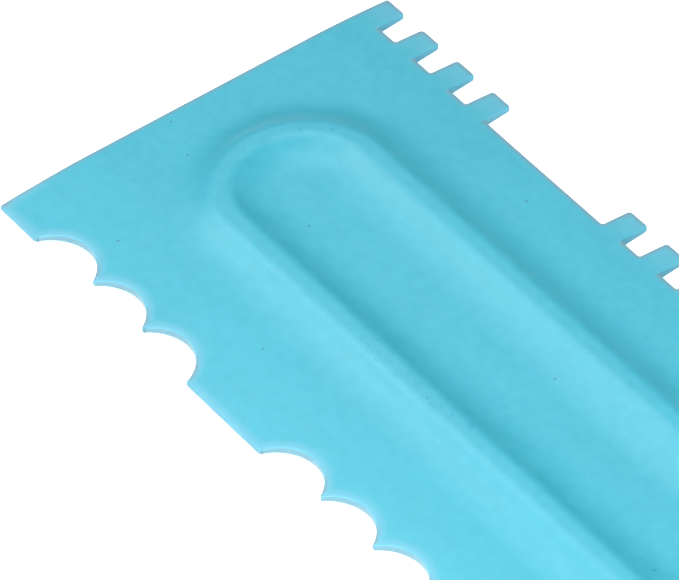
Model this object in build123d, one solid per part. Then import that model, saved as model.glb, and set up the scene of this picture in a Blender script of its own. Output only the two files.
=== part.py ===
"""Notched comb scraper: one flat plastic moulding with square teeth along one long edge,
scallops along the other, two straight ends, and a raised stadium-shaped grip ridge on each face.

Frame, in millimetres: the comb lies flat. X runs along its length, +Y points to the toothed edge,
and Z is up. The origin is at the middle of the length and width, on the surface it lies on.
"""
import math
import os

from build123d import *

# Overall size
length = 220.5
width = 80.0

# Section across the width: flat in the middle, thinning along an arc to both long edges
plate_thickness = 2.40
edge_thickness = 0.85
taper_width = 18.0
trim_margin = 1.0

# Square teeth, in groups with a long recess between two groups
tooth_width = 5.0
notch_width = 5.0
tooth_depth = 5.75
teeth_per_group = (4, 9, 4)
tooth_tip_radius = 0.7
notch_corner_radius = 0.45

# Scallops, in groups with a straight stretch between two groups
scallop_radius = 7.9
scallop_setback = 2.2
scallop_pitch = 14.15
scallops_per_group = (3, 5, 3)
first_scallop = 18.0
cusp_radius = 0.35
shoulder_radius = 0.6
end_corner_radius = 0.5

# Grip ridge: a flat land along a stadium, with a wide concave fillet down each side
ridge_height = 2.2
ridge_land = 3.4
ridge_fillet = 8.5
ridge_radius = 13.6
ridge_end_inset = 16.75
ridge_offset = 0.55
ridge_root_sink = 0.06

half_length = length / 2
half_width = width / 2
half_plate = plate_thickness / 2
half_edge = edge_thickness / 2
mid_plane = half_plate + ridge_height
tooth_pitch = tooth_width + notch_width


def tooth_starts():
    """X of each tooth's left side, group by group; the groups share the spare length evenly."""
    group_lengths = [count * tooth_pitch - notch_width for count in teeth_per_group]
    recess = (length - sum(group_lengths)) / (len(group_lengths) - 1)
    starts = []
    group_start = -half_length
    for count, group_length in zip(teeth_per_group, group_lengths):
        starts.append([group_start + i * tooth_pitch for i in range(count)])
        group_start += group_length + recess
    return starts


def scallop_centres():
    """X of each scallop's centre: the outer groups start at the ends, the middle one is centred."""
    first, middle, last = scallops_per_group
    left = [first_scallop - half_length + i * scallop_pitch for i in range(first)]
    centre = [(i - (middle - 1) / 2) * scallop_pitch for i in range(middle)]
    right = [half_length - first_scallop - i * scallop_pitch for i in range(last)]
    return left + centre + right


def corners_at(sketch, x_values, y_value):
    """The sketch's vertices that lie at one height Y and at any of the given X values."""
    close = 0.01
    return [
        vertex
        for vertex in sketch.vertices()
        if abs(vertex.Y - y_value) < close and any(abs(vertex.X - x) < close for x in x_values)
    ]


def make_outline():
    """Plan view of the comb: a rectangle less the notches, the recesses and the scallops."""
    outline = Rectangle(length, width)
    starts = tooth_starts()
    notch_sides = []
    ordered = [start for group in starts for start in group]
    for start, following in zip(ordered, ordered[1:]):
        left = start + tooth_width
        gap = Rectangle(following - left, tooth_depth, align=(Align.MIN, Align.MAX))
        outline -= Pos(left, half_width) * gap
        notch_sides += [left, following]
    root = half_width - tooth_depth
    outline = fillet(corners_at(outline, notch_sides, root), notch_corner_radius)
    outline = fillet(corners_at(outline, notch_sides, half_width), tooth_tip_radius)

    centres = scallop_centres()
    scallop_line = -half_width - scallop_setback
    for centre in centres:
        outline -= Pos(centre, scallop_line) * Circle(scallop_radius)
    half_chord = math.sqrt(scallop_radius**2 - scallop_setback**2)
    half_pitch = scallop_pitch / 2
    cusp_line = scallop_line + math.sqrt(scallop_radius**2 - half_pitch**2)
    cusps = [centre + half_pitch for centre in centres]
    shoulders = [centre + side * half_chord for centre in centres for side in (-1, 1)]
    outline = fillet(corners_at(outline, cusps, cusp_line), cusp_radius)
    outline = fillet(corners_at(outline, shoulders, -half_width), shoulder_radius)
    for edge_line in (-half_width, half_width):
        ends = corners_at(outline, (-half_length, half_length), edge_line)
        outline = fillet(ends, end_corner_radius)
    return outline


def make_plate():
    """The plate: its section across the width run along the length, trimmed to the plan view."""
    flat = half_width - taper_width
    drop = half_plate - half_edge
    taper_radius = (taper_width**2 + drop**2) / (2 * drop)
    reach = taper_width + trim_margin
    angle = math.asin(reach / taper_radius)
    sweep = math.degrees(angle)
    tip = half_plate - taper_radius * (1 - math.cos(angle))
    upper = [
        Line((-flat, half_plate), (flat, half_plate)),
        CenterArc((flat, half_plate - taper_radius), taper_radius, 90 - sweep, sweep),
        CenterArc((-flat, half_plate - taper_radius), taper_radius, 90, sweep),
    ]
    lower = [edge.mirror(Plane.XZ) for edge in upper]
    sides = [Line((side * (flat + reach), -tip), (side * (flat + reach), tip)) for side in (-1, 1)]
    section = make_face(upper + lower + sides)
    start = -half_length - trim_margin
    across = Plane(origin=(start, 0, mid_plane), x_dir=(0, 1, 0), z_dir=(1, 0, 0))
    bar = extrude(across * section, amount=length + 2 * trim_margin)
    blank = extrude(make_outline(), amount=2 * mid_plane)
    return bar & blank


def ridge_section():
    """Half of the ridge's section, from its land's centre outwards: X is sideways, Y is up."""
    foot = half_plate - ridge_root_sink
    rise = half_plate + ridge_height - foot
    radius = (ridge_fillet**2 + rise**2) / (2 * rise)
    angle = math.degrees(math.asin(ridge_fillet / radius))
    half_land = ridge_land / 2
    reach = half_land + ridge_fillet
    top = half_plate + ridge_height
    edges = [Line((-half_land, top), (half_land, top)), Line((-reach, 0), (reach, 0))]
    for side in (-1, 1):
        start = 270 if side < 0 else 270 - angle
        edges.append(CenterArc((side * reach, foot + radius), radius, start, angle))
        edges.append(Line((side * reach, foot), (side * reach, 0)))
    return make_face(edges)


def make_ridge():
    """The upper ridge: two straight runs joined by a half turn at each end."""
    run = length - 2 * (ridge_end_inset + ridge_radius)
    section = ridge_section()
    ridge = None
    for side in (-1, 1):
        plane = Plane(origin=(-run / 2, side * ridge_radius, 0), x_dir=(0, 1, 0), z_dir=(1, 0, 0))
        straight = extrude(plane * section, amount=run)
        half_turn_start = Plane(
            origin=(side * run / 2, -side * ridge_radius, 0), x_dir=(0, 1, 0), z_dir=(1, 0, 0)
        )
        turn_axis = Axis((side * run / 2, 0, 0), (0, 0, 1))
        turn = revolve(half_turn_start * section, axis=turn_axis, revolution_arc=180)
        ridge = straight + turn if ridge is None else ridge + straight + turn
    return Pos(0, ridge_offset, mid_plane) * ridge


def make_comb():
    """Plate with the ridge on its upper face and the same ridge mirrored on its lower face."""
    upper_ridge = make_ridge()
    lower_ridge = upper_ridge.mirror(Plane.XY.offset(mid_plane))
    return make_plate() + upper_ridge + lower_ridge


os.makedirs("parts", exist_ok=True)
comb = make_comb()
export_step(comb, "parts/comb_scraper.step")
print("solids", len(comb.solids()), "volume", round(comb.volume, 1), "size", comb.bounding_box().size)
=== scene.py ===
"""Looks of the notched comb scraper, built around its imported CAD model.

The comb is one moulding, so one detailed mesh stands for the CAD node: a plate that thins to its two long
edges, square teeth, scallops, rounded rims, and a grip ridge on each face. All lengths below are in
millimetres in the comb's own frame and become metres in the mesh.
"""
import math

import bpy
import numpy as np
from mathutils import Matrix, Vector
from mathutils.geometry import delaunay_2d_cdt


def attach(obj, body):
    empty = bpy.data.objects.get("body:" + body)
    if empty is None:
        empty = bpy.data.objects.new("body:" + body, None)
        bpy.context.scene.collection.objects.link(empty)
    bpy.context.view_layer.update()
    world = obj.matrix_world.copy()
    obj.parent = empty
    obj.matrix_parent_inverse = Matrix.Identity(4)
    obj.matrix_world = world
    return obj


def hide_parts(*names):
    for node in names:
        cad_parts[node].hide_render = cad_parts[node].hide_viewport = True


MM = 0.001

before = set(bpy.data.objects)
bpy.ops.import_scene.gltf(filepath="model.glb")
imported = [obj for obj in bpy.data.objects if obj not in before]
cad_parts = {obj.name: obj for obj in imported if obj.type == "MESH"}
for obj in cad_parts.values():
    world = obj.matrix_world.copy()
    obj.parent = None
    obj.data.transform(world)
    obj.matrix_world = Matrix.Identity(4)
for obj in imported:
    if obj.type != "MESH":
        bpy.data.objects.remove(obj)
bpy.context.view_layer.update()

# Driving dimensions, as in the CAD model
LENGTH = 220.5
WIDTH = 80.0
PLATE_THICKNESS = 2.40
EDGE_THICKNESS = 0.85
TAPER_WIDTH = 18.0
TOOTH_WIDTH = 5.0
NOTCH_WIDTH = 5.0
TOOTH_DEPTH = 5.75
TEETH_PER_GROUP = (4, 9, 4)
TOOTH_TIP_RADIUS = 0.7
NOTCH_CORNER_RADIUS = 0.45
SCALLOP_RADIUS = 7.9
SCALLOP_SETBACK = 2.2
SCALLOP_PITCH = 14.15
SCALLOPS_PER_GROUP = (3, 5, 3)
FIRST_SCALLOP = 18.0
CUSP_RADIUS = 0.35
SHOULDER_RADIUS = 0.6
END_CORNER_RADIUS = 0.5
RIDGE_HEIGHT = 2.2
RIDGE_LAND = 3.4
RIDGE_FILLET = 8.5
RIDGE_RADIUS = 13.6
RIDGE_END_INSET = 16.75
RIDGE_OFFSET = 0.55

HALF_LENGTH = LENGTH / 2
HALF_WIDTH = WIDTH / 2
HALF_PLATE = PLATE_THICKNESS / 2
HALF_EDGE = EDGE_THICKNESS / 2
MID_PLANE = HALF_PLATE + RIDGE_HEIGHT
RIDGE_RUN = LENGTH - 2 * (RIDGE_END_INSET + RIDGE_RADIUS)

# Shape that only the looks need: softened arrises and rounded rims
ARRIS_SOFTNESS = 0.95
ARRIS_SAMPLES = 15
RIDGE_FALLOFF = 2.2
RIM_RADIUS = 0.14
SCALLOPED_RIM_RADIUS = 0.30
RIM_SHARE = 0.36

# Light, floor, and the direction in plan that points away from key_light; rims that face it get a painted
# shade line
SKY_STRENGTH = 0.71
FLOOR_REACH = 6.0
FLOOR_DROP = 0.3
FLOOR_ALBEDO = 0.95
FLOOR_GLOW = 0.5
SHADED_SIDE = (-0.87, 0.50)

# Camera: a point on the comb in millimetres, metres of distance, and degrees
CAMERA_TARGET = (52.04 - HALF_LENGTH, -7.845, MID_PLANE)
CAMERA_DISTANCE = 1.3109
CAMERA_AZIMUTH = 57.446
CAMERA_ELEVATION = 43.813
CAMERA_ROLL = -4.839
CAMERA_LENS = 425.0

# Colours of the plastic, its blemishes, and the painted light and painted shade on its teeth, rims and
# walls
BODY_DEEP = (0.035, 0.321, 0.416, 1)
BODY_LIGHT = (0.043, 0.335, 0.432, 1)
BODY_SCUFFED = (0.075, 0.390, 0.490, 1)
# Painted light: a paler tint on the teeth, standing in for light coming through the thin plastic
TOOTH_PAINTED_LIGHT_COLOUR = (0.100, 0.355, 0.465, 1)
# Painted light: a pale tint along the scalloped rims
PAINTED_GLOW_COLOUR = (0.110, 0.375, 0.480, 1)
WALL_SCALLOPED = (0.120, 0.290, 0.360, 1)
WALL_TOOTHED = (0.055, 0.300, 0.400, 1)
# Painted shade: greyer, darker tints low on the walls
SCALLOPED_FOOT_PAINTED_SHADE = (0.150, 0.290, 0.340, 1)
TOOTHED_FOOT_PAINTED_SHADE = (0.075, 0.235, 0.315, 1)
# Painted shade: a greyish line on rims that face away from the key light
PAINTED_SHADE_COLOUR = (0.145, 0.230, 0.280, 1)
SPECK_COLOUR = (0.012, 0.110, 0.160, 1)
BODY_TONE = 1.005
# Strengths and reaches of the painted light on teeth and rims and of the painted shade line
TOOTH_PAINTED_LIGHT_STRENGTH = 0.8
PAINTED_GLOW_REACH = 2.3
PAINTED_SHADE_REACH = 1.1
PAINTED_SHADE_STRENGTH = 0.9
SCUFF_STRENGTH = 0.25
SPECK_STRENGTH = 0.75
SPECK_SPACING = 9.0
SPECK_RADIUS = 0.28
SPECK_RARITY = 0.88

# Gloss of the plastic, and the light scattered under its surface
ROUGHNESS = 0.34
CREST_DEPTH = 0.5
PLASTIC_IOR = 1.49
SCATTER_WEIGHT = 0.5
SCATTER_RADIUS = (0.35, 1.0, 1.2)
SCATTER_SCALE = 1.2

# Fineness of the mesh
ARC_STEP = 7.5
SHORTEST_CHORD = 0.22
OUTLINE_STEP = 0.9
RIM_STEPS = 4
RIDGE_RUN_STEPS = 64
RIDGE_TURN_STEPS = 56
RIDGE_LAND_STEPS = 12
RIDGE_FILLET_STEPS = 14
FIELD_STEP_X = 1.6
FIELD_STEP_Y = 1.1
FIELD_CLEARANCE = 0.55


# ---------------------------------------------------------------- camera and light

def camera_axes(azimuth, elevation, roll):
    """Right, up and backward directions of a camera, from its angles in degrees."""
    a, e, r = (math.radians(x) for x in (azimuth, elevation, roll))
    right = Vector((math.cos(a), math.sin(a), 0))
    up = Vector((-math.sin(a) * math.sin(e), math.cos(a) * math.sin(e), math.cos(e)))
    back = Vector((math.sin(a) * math.cos(e), -math.cos(a) * math.cos(e), math.sin(e)))
    rolled_right = right * math.cos(r) + up * math.sin(r)
    rolled_up = up * math.cos(r) - right * math.sin(r)
    return rolled_right, rolled_up, back


def make_camera():
    """A long lens that looks at one half of the comb, slightly rolled."""
    right, up, back = camera_axes(CAMERA_AZIMUTH, CAMERA_ELEVATION, CAMERA_ROLL)
    data = bpy.data.cameras.new("camera")
    data.sensor_width = 36.0
    data.lens = CAMERA_LENS
    data.clip_start = 0.05
    data.clip_end = 20.0
    camera = bpy.data.objects.new("camera", data)
    place = Vector(CAMERA_TARGET) * MM + back * CAMERA_DISTANCE
    turned = Matrix((right, up, back)).transposed()
    camera.matrix_world = Matrix.Translation(place) @ turned.to_4x4()
    bpy.context.scene.collection.objects.link(camera)
    bpy.context.scene.camera = camera


def make_softbox(name, azimuth, elevation, distance, size, power):
    """A square area light on a sphere about the comb, aimed at its middle."""
    _, _, back = camera_axes(azimuth, elevation, 0)
    data = bpy.data.lights.new(name, "AREA")
    data.shape = "SQUARE"
    data.size = size
    data.energy = power
    light = bpy.data.objects.new(name, data)
    light.location = back * distance
    light.rotation_euler = back.to_track_quat("Z", "Y").to_euler()
    bpy.context.scene.collection.objects.link(light)


def make_sky():
    """White surroundings that are brightest overhead and dark along the horizon."""
    world = bpy.data.worlds.new("studio")
    bpy.context.scene.world = world
    world.use_nodes = True
    tree = world.node_tree
    background = tree.nodes["Background"]
    background.inputs["Color"].default_value = (1, 1, 1, 1)
    direction = tree.nodes.new("ShaderNodeTexCoord")
    parts = tree.nodes.new("ShaderNodeSeparateXYZ")
    strength = tree.nodes.new("ShaderNodeMath")
    strength.operation = "MULTIPLY"
    strength.use_clamp = True
    strength.inputs[1].default_value = SKY_STRENGTH
    tree.links.new(direction.outputs["Generated"], parts.inputs[0])
    tree.links.new(parts.outputs["Z"], strength.inputs[0])
    tree.links.new(strength.outputs[0], background.inputs["Strength"])


def make_studio():
    """A soft overhead sky, two key lights from the camera's side and four weaker fills."""
    make_sky()
    make_softbox("key_light", azimuth=60, elevation=48, distance=0.50, size=0.30, power=2.47)
    make_softbox("key_right", azimuth=25, elevation=48, distance=0.50, size=0.30, power=1.09)
    make_softbox("fill_left", azimuth=-72, elevation=42, distance=0.60, size=0.20, power=0.47)
    make_softbox("fill_top", azimuth=-95, elevation=62, distance=0.60, size=0.35, power=0.66)
    make_softbox("fill_front", azimuth=-20, elevation=50, distance=0.70, size=0.50, power=0.74)
    make_softbox("fill_back", azimuth=-115, elevation=45, distance=0.70, size=0.50, power=0.35)


def make_floor():
    """A white floor just below the comb, which glows a little so that shadows stay faint."""
    mesh = bpy.data.meshes.new("floor")
    corners = [(x * FLOOR_REACH, y * FLOOR_REACH) for x, y in ((-1, -1), (1, -1), (1, 1), (-1, 1))]
    mesh.from_pydata([(x, y, -FLOOR_DROP * MM) for x, y in corners], [], [(0, 1, 2, 3)])
    floor = bpy.data.objects.new("floor", mesh)
    bpy.context.scene.collection.objects.link(floor)
    material = bpy.data.materials.new("floor_white")
    material.use_nodes = True
    shader = material.node_tree.nodes["Principled BSDF"]
    shader.inputs["Base Color"].default_value = (FLOOR_ALBEDO, FLOOR_ALBEDO, FLOOR_ALBEDO, 1)
    shader.inputs["Emission Color"].default_value = (1, 1, 1, 1)
    shader.inputs["Emission Strength"].default_value = FLOOR_GLOW
    shader.inputs["Roughness"].default_value = 0.9
    shader.inputs["Specular IOR Level"].default_value = 0.2
    mesh.materials.append(material)


# ---------------------------------------------------------------- plan view

def arc(centre, radius, start, end):
    """Points on an arc from one angle to another, in degrees, ends included."""
    spacing = max(ARC_STEP, math.degrees(SHORTEST_CHORD / radius))
    count = max(4, math.ceil(abs(end - start) / spacing))
    angles = np.radians(np.linspace(start, end, count + 1))
    return centre + radius * np.column_stack((np.cos(angles), np.sin(angles)))


def scallop_groups():
    """X of the scallop centres in each group: two groups start at the ends, one is centred."""
    left, middle, right = SCALLOPS_PER_GROUP
    first = FIRST_SCALLOP - HALF_LENGTH
    return [
        [first + i * SCALLOP_PITCH for i in range(left)],
        [(i - (middle - 1) / 2) * SCALLOP_PITCH for i in range(middle)],
        [-first - (right - 1 - i) * SCALLOP_PITCH for i in range(right)],
    ]


def tooth_gaps():
    """Left and right X of every gap between two teeth, the long recesses included."""
    pitch = TOOTH_WIDTH + NOTCH_WIDTH
    spans = [count * pitch - NOTCH_WIDTH for count in TEETH_PER_GROUP]
    recess = (LENGTH - sum(spans)) / (len(spans) - 1)
    starts = []
    group_start = -HALF_LENGTH
    for count, span in zip(TEETH_PER_GROUP, spans):
        starts += [group_start + i * pitch for i in range(count)]
        group_start += span + recess
    return [(start + TOOTH_WIDTH, following) for start, following in zip(starts, starts[1:])]


def scalloped_edge():
    """The lower edge from left to right: scallops with rounded shoulders and rounded cusps."""
    line = -HALF_WIDTH - SCALLOP_SETBACK
    shoulder_y = -HALF_WIDTH + SHOULDER_RADIUS
    shoulder_x = math.sqrt((SCALLOP_RADIUS + SHOULDER_RADIUS) ** 2 - (shoulder_y - line) ** 2)
    shoulder_angle = math.degrees(math.atan2(shoulder_y - line, shoulder_x))
    cusp_rise = math.sqrt((SCALLOP_RADIUS + CUSP_RADIUS) ** 2 - (SCALLOP_PITCH / 2) ** 2)
    cusp_angle = math.degrees(math.atan2(cusp_rise, SCALLOP_PITCH / 2))
    pieces = []
    for group in scallop_groups():
        left_shoulder = np.array((group[0] - shoulder_x, shoulder_y))
        pieces.append(arc(left_shoulder, SHOULDER_RADIUS, 270, 360 - shoulder_angle))
        for centre in group:
            start = shoulder_angle if centre == group[0] else cusp_angle
            end = shoulder_angle if centre == group[-1] else cusp_angle
            pieces.append(arc(np.array((centre, line)), SCALLOP_RADIUS, 180 - start, end))
            if centre != group[-1]:
                cusp = np.array((centre + SCALLOP_PITCH / 2, line + cusp_rise))
                pieces.append(arc(cusp, CUSP_RADIUS, 180 + cusp_angle, 360 - cusp_angle))
        right_shoulder = np.array((group[-1] + shoulder_x, shoulder_y))
        pieces.append(arc(right_shoulder, SHOULDER_RADIUS, 180 + shoulder_angle, 270))
    return pieces


def toothed_edge():
    """The upper edge from right to left: each gap has two rounded tips and two rounded roots."""
    tip_y = HALF_WIDTH - TOOTH_TIP_RADIUS
    root_y = HALF_WIDTH - TOOTH_DEPTH + NOTCH_CORNER_RADIUS
    tip, root = TOOTH_TIP_RADIUS, NOTCH_CORNER_RADIUS
    pieces = []
    for left, right in reversed(tooth_gaps()):
        pieces.append(arc(np.array((right + tip, tip_y)), tip, 90, 180))
        pieces.append(arc(np.array((right - root, root_y)), root, 0, -90))
        pieces.append(arc(np.array((left + root, root_y)), root, 270, 180))
        pieces.append(arc(np.array((left - tip, tip_y)), tip, 0, 90))
    return pieces


def end_corner(side_x, side_y, start):
    """One rounded corner of the whole outline."""
    inset = END_CORNER_RADIUS
    centre = np.array((side_x * (HALF_LENGTH - inset), side_y * (HALF_WIDTH - inset)))
    return arc(centre, inset, start, start + 90)


def make_outline():
    """The comb's outline, counter-clockwise, with points at most OUTLINE_STEP apart."""
    pieces = [end_corner(-1, -1, 180), *scalloped_edge(), end_corner(1, -1, 270)]
    pieces += [end_corner(1, 1, 0), *toothed_edge(), end_corner(-1, 1, 90)]
    corners = np.vstack(pieces)
    points = []
    for start, end in zip(corners, np.roll(corners, -1, axis=0)):
        count = math.ceil(np.linalg.norm(end - start) / OUTLINE_STEP)
        points += [start + (end - start) * i / count for i in range(count)]
    return np.array(points)


def inward_normals(loop):
    """Unit vectors that point into the material at each point of a counter-clockwise loop."""
    ahead = np.roll(loop, -1, axis=0) - loop
    behind = loop - np.roll(loop, 1, axis=0)
    ahead /= np.linalg.norm(ahead, axis=1, keepdims=True)
    behind /= np.linalg.norm(behind, axis=1, keepdims=True)
    tangent = ahead + behind
    tangent /= np.linalg.norm(tangent, axis=1, keepdims=True)
    return np.column_stack((-tangent[:, 1], tangent[:, 0]))


# ---------------------------------------------------------------- section

def plate_half_thickness(y):
    """Half the plate's thickness: flat in the middle, then an arc down to each long edge."""
    drop = HALF_PLATE - HALF_EDGE
    radius = (TAPER_WIDTH**2 + drop**2) / (2 * drop)
    into_taper = np.clip(np.abs(y) - (HALF_WIDTH - TAPER_WIDTH), 0, None)
    return HALF_PLATE - radius + np.sqrt(radius**2 - into_taper**2)


def rim_radius(y):
    """Radius that rounds the rim: greater on the scalloped side, and less where the plate is thin."""
    scalloped = np.clip((-y - 24) / 8, 0, 1)
    radius = RIM_RADIUS + (SCALLOPED_RIM_RADIUS - RIM_RADIUS) * scalloped
    return np.minimum(radius, RIM_SHARE * 2 * plate_half_thickness(y))


def ridge_distance(x, y):
    """Distance from the middle line of the ridge's land, positive outside the stadium."""
    beyond = np.clip(np.abs(x) - RIDGE_RUN / 2, 0, None)
    return np.hypot(beyond, y - RIDGE_OFFSET) - RIDGE_RADIUS


def ridge_profile(distance):
    """Ridge height above the plate: a flat land, a concave fillet each side, softened arrises."""
    height = 0
    for shift in np.linspace(-ARRIS_SOFTNESS, ARRIS_SOFTNESS, ARRIS_SAMPLES):
        down = np.clip(np.abs(distance + shift) - RIDGE_LAND / 2, 0, RIDGE_FILLET) / RIDGE_FILLET
        height = height + (1 - down) ** RIDGE_FALLOFF
    return RIDGE_HEIGHT * height / ARRIS_SAMPLES


def face_height(x, y):
    """Height of the upper face above the mid-plane."""
    return plate_half_thickness(y) + ridge_profile(ridge_distance(x, y))


def face_normals(x, y):
    """Unit normals of the upper face."""
    step = 0.01
    slope_x = (face_height(x + step, y) - face_height(x - step, y)) / (2 * step)
    slope_y = (face_height(x, y + step) - face_height(x, y - step)) / (2 * step)
    normals = np.column_stack((-slope_x, -slope_y, np.ones_like(x)))
    return normals / np.linalg.norm(normals, axis=1, keepdims=True)


# ---------------------------------------------------------------- mesh

def stadium_loop(distance):
    """A closed loop at one distance from the middle line of the ridge's land, counter-clockwise."""
    radius = RIDGE_RADIUS + distance
    along = np.linspace(-RIDGE_RUN / 2, RIDGE_RUN / 2, RIDGE_RUN_STEPS + 1)[:-1]
    angles = np.linspace(-np.pi / 2, np.pi / 2, RIDGE_TURN_STEPS + 1)[:-1]
    bottom = np.column_stack((along, np.full_like(along, -radius)))
    right = np.column_stack((RIDGE_RUN / 2 + radius * np.cos(angles), radius * np.sin(angles)))
    half = np.vstack((bottom, right))
    return np.vstack((half, -half)) + (0, RIDGE_OFFSET)


def inside(points, loop):
    """Which points lie inside a closed loop, by counting crossings of a ray along +X."""
    x, y = points[:, 0], points[:, 1]
    found = np.zeros(len(points), bool)
    for (x0, y0), (x1, y1) in zip(loop, np.roll(loop, -1, axis=0)):
        if y0 != y1:
            crosses = (y0 > y) != (y1 > y)
            found ^= crosses & (x < x0 + (x1 - x0) * (y - y0) / (y1 - y0))
    return found


def nearest(points, loop):
    """Distance from each point to the nearest point of a loop, and that point's index."""
    gaps = points[:, None, :] - loop[None, :, :]
    distances = np.sqrt((gaps**2).sum(axis=2))
    return distances.min(axis=1), distances.argmin(axis=1)


def triangulate(outer, holes, extra):
    """Triangles between an outer loop and its holes, as indices into the stacked points."""
    loops = [outer, *holes]
    points = np.vstack((*loops, extra))
    edges = []
    base = 0
    for loop in loops:
        edges += [(base + i, base + (i + 1) % len(loop)) for i in range(len(loop))]
        base += len(loop)
    result = delaunay_2d_cdt([Vector(p) for p in points], edges, [], 0, 1e-6)
    sources = [found[0] for found in result[3]]
    if len(sources) != len(points):
        raise RuntimeError("points of the plan view met each other")
    faces = np.array([[sources[i] for i in face] for face in result[2]])
    centres = points[faces].mean(axis=1)
    keep = inside(centres, outer)
    for hole in holes:
        keep &= ~inside(centres, hole)
    return faces[keep]


def field_points(outer, ridge_edge, outline):
    """An even grid over the plate, clear of the rim and of the ridge."""
    xs = np.arange(-HALF_LENGTH + FIELD_STEP_X / 2, HALF_LENGTH, FIELD_STEP_X)
    ys = np.arange(-HALF_WIDTH + FIELD_STEP_Y / 2, HALF_WIDTH, FIELD_STEP_Y)
    grid = np.array([(x, y) for x in xs for y in ys])
    grid = grid[inside(grid, outer) & ~inside(grid, ridge_edge)]
    clear = nearest(grid, outline)[0] > rim_radius(grid[:, 1]) + FIELD_CLEARANCE
    clear &= nearest(grid, ridge_edge)[0] > FIELD_CLEARANCE
    return grid[clear]


def ridge_distances():
    """Distances of the ridge's loops from the middle of its land, from the outside inwards."""
    edge = RIDGE_LAND / 2 + ARRIS_SOFTNESS
    land = np.linspace(edge, -edge, RIDGE_LAND_STEPS + 1)
    fillet = np.linspace(RIDGE_FILLET, 0, RIDGE_FILLET_STEPS + 1)[:-1]
    return np.concatenate((edge + fillet, land, -edge - fillet[::-1]))


def build_face_mesh(outline):
    """Plan points, faces and heights of the upper face, from the rim's inner loop inwards."""
    rim = rim_radius(outline[:, 1])
    inner = outline + inward_normals(outline) * rim[:, None]
    loops = [stadium_loop(distance) for distance in ridge_distances()]
    field = field_points(inner, loops[0], outline)
    floor_line = np.linspace(-RIDGE_RUN / 2, RIDGE_RUN / 2, RIDGE_RUN_STEPS + 1)
    floor = np.column_stack((floor_line, np.full_like(floor_line, RIDGE_OFFSET)))

    points = np.vstack((inner, *loops, field, floor))
    loop_size = len(loops[0])
    loop_start = len(inner)
    field_start = loop_start + loop_size * len(loops)
    floor_start = field_start + len(field)

    faces = []
    outside = triangulate(inner, [loops[0]], field)
    shift = np.where(outside < loop_start + loop_size, 0, field_start - loop_start - loop_size)
    faces += (outside + shift).tolist()
    for row in range(len(loops) - 1):
        a = loop_start + row * loop_size
        b = a + loop_size
        for i in range(loop_size):
            j = (i + 1) % loop_size
            faces.append([a + i, a + j, b + j, b + i])
    within = triangulate(loops[-1], [], floor)
    shift = np.where(within < loop_size, field_start - loop_size, floor_start - loop_size)
    faces += (within + shift).tolist()
    return points, faces, rim


def build_comb():
    """The whole comb: an upper face, its mirror image below, and a rounded rim between them."""
    outline = make_outline()
    points, faces, rim = build_face_mesh(outline)
    x, y = points[:, 0], points[:, 1]
    height = face_height(x, y)
    normals = face_normals(x, y)
    mirrored = normals * (1, 1, -1)
    count = len(points)

    vertices = [np.column_stack((x, y, height)), np.column_stack((x, y, -height))]
    directions = [normals, mirrored]
    from_rim, closest = nearest(points, outline)
    inward = inward_normals(outline)
    # How far each rim faces away from the key light, which sets the painted shade line
    facing = -inward @ SHADED_SIDE
    distances = [from_rim] * 2
    depths = [np.zeros(count), np.ones(count)]
    facings = [facing[closest]] * 2
    triangles = [list(face) for face in faces]
    triangles += [[i + count for i in reversed(face)] for face in faces]

    size = len(outline)
    edge_height = face_height(outline[:, 0], outline[:, 1])
    edge_normals = face_normals(outline[:, 0], outline[:, 1])
    rows = [0]
    angles = np.linspace(math.pi / 2, 0, RIM_STEPS + 1)[1:]
    sides = [(1, angle) for angle in angles] + [(-1, angle) for angle in reversed(angles)]
    start = 2 * count
    for side, angle in sides:
        plan = outline + inward * (rim * (1 - math.cos(angle)))[:, None]
        level = side * (edge_height - rim * (1 - math.sin(angle)))
        vertices.append(np.column_stack((plan, level)))
        outwards = np.column_stack((-inward * math.cos(angle), np.zeros(size)))
        directions.append(outwards + edge_normals * (1, 1, side) * math.sin(angle))
        distances.append(rim * (1 - math.cos(angle)))
        depths.append((1 - level / edge_height) / 2)
        facings.append(facing)
        rows.append(start)
        start += size
    rows.append(count)
    for upper, lower in zip(rows, rows[1:]):
        for i in range(size):
            j = (i + 1) % size
            triangles.append([upper + j, upper + i, lower + i, lower + j])

    vertices = (np.vstack(vertices) + (0, 0, MID_PLANE)) * MM
    directions = np.vstack(directions)
    directions /= np.linalg.norm(directions, axis=1, keepdims=True)
    mesh = bpy.data.meshes.new("comb_scraper_moulding")
    mesh.from_pydata(vertices.tolist(), [], triangles)
    mesh.polygons.foreach_set("use_smooth", [True] * len(mesh.polygons))
    rims = {"rim_distance": distances, "wall_depth": depths, "rim_facing_shaded_side": facings}
    for name, values in rims.items():
        attribute = mesh.attributes.new(name, "FLOAT", "POINT")
        attribute.data.foreach_set("value", np.concatenate(values).astype(np.float32))
    mesh.normals_split_custom_set_from_vertices(directions.tolist())
    mesh.validate()
    comb = bpy.data.objects.new("comb_moulding", mesh)
    bpy.context.scene.collection.objects.link(comb)
    return comb


# ---------------------------------------------------------------- material

def add_node(tree, kind, settings, inputs):
    """A new node; each of its inputs is given either a value or another node's output."""
    node = tree.nodes.new(kind)
    for name, value in settings.items():
        setattr(node, name, value)
    for name, value in inputs.items():
        if isinstance(value, bpy.types.NodeSocket):
            tree.links.new(value, node.inputs[name])
        else:
            node.inputs[name].default_value = value
    return node


def calc(tree, operation, first, second=0.0):
    """The result of one sum on two numbers."""
    node = add_node(tree, "ShaderNodeMath", {"operation": operation}, {0: first, 1: second})
    return node.outputs[0]


def weighted_sum(tree, start, terms):
    """A starting value plus each term's value times its weight."""
    total = start
    for value, weight in terms:
        total = calc(tree, "ADD", calc(tree, "MULTIPLY", value, weight), total)
    return total


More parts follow.
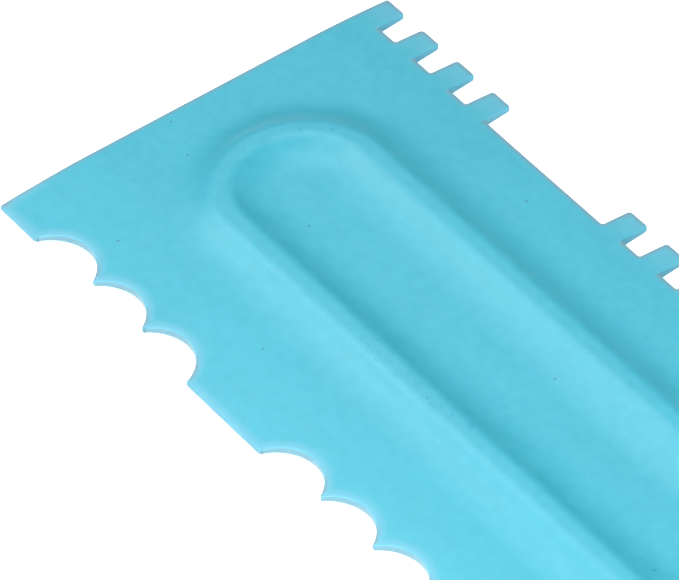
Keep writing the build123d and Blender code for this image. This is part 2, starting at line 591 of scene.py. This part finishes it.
def fade(tree, value, start, end):
    """A smooth step that is 0 up to one value and 1 from the other on."""
    inputs = {"Value": value, "From Min": start, "From Max": end}
    node = add_node(tree, "ShaderNodeMapRange", {"interpolation_type": "SMOOTHSTEP"}, inputs)
    return node.outputs["Result"]


def blend(tree, factor, first, second, mode="MIX"):
    """One colour laid over another."""
    settings = {"data_type": "RGBA", "blend_type": mode}
    return add_node(tree, "ShaderNodeMix", settings, {0: factor, 6: first, 7: second}).outputs[2]


def noise(tree, scales, detail, turn=0.0):
    """Noise from -0.5 to 0.5, with a scale per millimetre along each axis, turned about Z."""
    place = add_node(tree, "ShaderNodeTexCoord", {}, {}).outputs["Object"]
    stretch = [scale / MM for scale in scales]
    inputs = {"Vector": place, "Rotation": (0, 0, math.radians(turn))}
    turned = add_node(tree, "ShaderNodeMapping", {}, inputs).outputs[0]
    inputs = {"Vector": turned, "Scale": stretch}
    stretched = add_node(tree, "ShaderNodeMapping", {}, inputs).outputs[0]
    inputs = {"Vector": stretched, "Scale": 1.0, "Detail": detail}
    return calc(tree, "SUBTRACT", add_node(tree, "ShaderNodeTexNoise", {}, inputs).outputs["Fac"], 0.5)


def make_specks(tree):
    """A few tiny dark specks: 1 inside a speck and 0 elsewhere."""
    place = add_node(tree, "ShaderNodeTexCoord", {}, {}).outputs["Object"]
    settings = {"voronoi_dimensions": "2D", "feature": "F1"}
    inputs = {"Vector": place, "Scale": 1 / (SPECK_SPACING * MM)}
    cells = add_node(tree, "ShaderNodeTexVoronoi", settings, inputs)
    chance = add_node(tree, "ShaderNodeSeparateXYZ", {}, {0: cells.outputs["Color"]})
    radius = SPECK_RADIUS / SPECK_SPACING
    spot = fade(tree, cells.outputs["Distance"], radius, radius / 2)
    return calc(tree, "MULTIPLY", spot, calc(tree, "GREATER_THAN", chance.outputs[0], SPECK_RARITY))


def tint_rims(tree, body, y):
    """Painted light that makes the tooth tips and scalloped rims paler, walls coloured apart from the
    faces with painted shade low on them, and a greyish painted shade line on rims that face away from the
    key light.
    """
    rim = add_node(tree, "ShaderNodeAttribute", {"attribute_name": "rim_distance"}, {}).outputs["Fac"]
    depth = add_node(tree, "ShaderNodeAttribute", {"attribute_name": "wall_depth"}, {}).outputs["Fac"]
    facing = add_node(tree, "ShaderNodeAttribute", {"attribute_name": "rim_facing_shaded_side"}, {}).outputs["Fac"]

    scalloped = fade(tree, y, -24.0, -36.0)
    toothed = fade(tree, y, 31.0, 41.0)
    # Painted light: a pale band along the scalloped rims
    painted_glow = calc(tree, "MULTIPLY", fade(tree, rim, PAINTED_GLOW_REACH, 0.1), scalloped)
    wall = blend(tree, scalloped, WALL_TOOTHED, WALL_SCALLOPED)
    # Painted shade: the walls turn greyer and darker towards their lower part
    painted_foot_shade = blend(tree, scalloped, TOOTHED_FOOT_PAINTED_SHADE, SCALLOPED_FOOT_PAINTED_SHADE)
    wall = blend(tree, fade(tree, depth, 0.60, 0.95), wall, painted_foot_shade)
    on_wall = calc(tree, "MULTIPLY", fade(tree, depth, 0.0, 0.30), fade(tree, rim, 0.60, 0.32))
    # Painted shade: a greyish line on rims that face away from the key light
    painted_shade_line = calc(tree, "MULTIPLY", fade(tree, rim, PAINTED_SHADE_REACH, 0.05), fade(tree, facing, -0.2, 0.4))

    # Painted light: paler teeth, standing in for light coming through the thin plastic
    body = blend(tree, calc(tree, "MULTIPLY", toothed, TOOTH_PAINTED_LIGHT_STRENGTH), body, TOOTH_PAINTED_LIGHT_COLOUR)
    body = blend(tree, painted_glow, body, PAINTED_GLOW_COLOUR)
    body = blend(tree, on_wall, body, wall)
    return blend(tree, calc(tree, "MULTIPLY", painted_shade_line, PAINTED_SHADE_STRENGTH), body, PAINTED_SHADE_COLOUR)


def make_plastic():
    """Satin turquoise plastic, milky under the surface, with painted light that makes it slightly paler
    on the scalloped side.
    """
    material = bpy.data.materials.new("turquoise_plastic")
    material.use_nodes = True
    tree = material.node_tree
    shader = tree.nodes["Principled BSDF"]

    place = add_node(tree, "ShaderNodeTexCoord", {}, {}).outputs["Object"]
    parts = add_node(tree, "ShaderNodeSeparateXYZ", {}, {0: place})
    y = calc(tree, "DIVIDE", parts.outputs["Y"], MM)
    z = calc(tree, "DIVIDE", parts.outputs["Z"], MM)
    level = calc(tree, "ABSOLUTE", calc(tree, "SUBTRACT", z, MID_PLANE))

    clouds = noise(tree, (0.035, 0.035, 0.035), 2)
    streaks = noise(tree, (0.03, 0.30, 0.30), 3)
    mottle = noise(tree, (0.45, 0.45, 0.45), 4)
    grain = noise(tree, (7.0, 7.0, 7.0), 2)
    waves = noise(tree, (0.09, 0.09, 0.09), 1)
    scuffs_a = fade(tree, noise(tree, (0.02, 1.4, 1.4), 3, turn=24), 0.17, 0.24)
    scuffs_b = fade(tree, noise(tree, (0.025, 1.7, 1.7), 3, turn=-37), 0.18, 0.25)
    scuffs = calc(tree, "MAXIMUM", scuffs_a, scuffs_b)
    # Painted light: the plate is made paler towards the thinner, scalloped side
    scalloped_side_painted_light = fade(tree, y, -8.0, -30.0)

    terms = [(clouds, 0.07), (streaks, 0.08), (mottle, 0.045), (grain, 0.035)]
    tone = weighted_sum(tree, BODY_TONE, [*terms, (scalloped_side_painted_light, 0.035)])
    body = blend(tree, fade(tree, mottle, -0.2, 0.2), BODY_DEEP, BODY_LIGHT)
    body = blend(tree, 1.0, body, tone, "MULTIPLY")
    body = blend(tree, calc(tree, "MULTIPLY", scuffs, SCUFF_STRENGTH), body, BODY_SCUFFED)
    body = blend(tree, calc(tree, "MULTIPLY", make_specks(tree), SPECK_STRENGTH), body, SPECK_COLOUR)
    tree.links.new(tint_rims(tree, body, y), shader.inputs["Base Color"])

    crest_level = HALF_PLATE + RIDGE_HEIGHT
    crest = fade(tree, level, crest_level - CREST_DEPTH, crest_level)
    terms = [(mottle, 0.12), (clouds, 0.10), (scuffs, 0.08), (crest, -0.04)]
    tree.links.new(weighted_sum(tree, ROUGHNESS, terms), shader.inputs["Roughness"])

    height = weighted_sum(tree, 0.0, [(grain, 0.004), (mottle, 0.02), (waves, 0.15), (scuffs, -0.004)])
    bump = add_node(tree, "ShaderNodeBump", {}, {"Height": height, "Distance": MM, "Strength": 1.0})
    tree.links.new(bump.outputs["Normal"], shader.inputs["Normal"])

    shader.inputs["IOR"].default_value = PLASTIC_IOR
    shader.inputs["Subsurface Weight"].default_value = SCATTER_WEIGHT
    shader.inputs["Subsurface Radius"].default_value = SCATTER_RADIUS
    shader.inputs["Subsurface Scale"].default_value = SCATTER_SCALE * MM
    return material


def main():
    bpy.context.scene.view_settings.view_transform = "Standard"
    make_camera()
    make_studio()
    make_floor()
    comb = build_comb()
    comb.data.materials.append(make_plastic())
    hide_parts("comb_scraper")
    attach(comb, "root")


main()
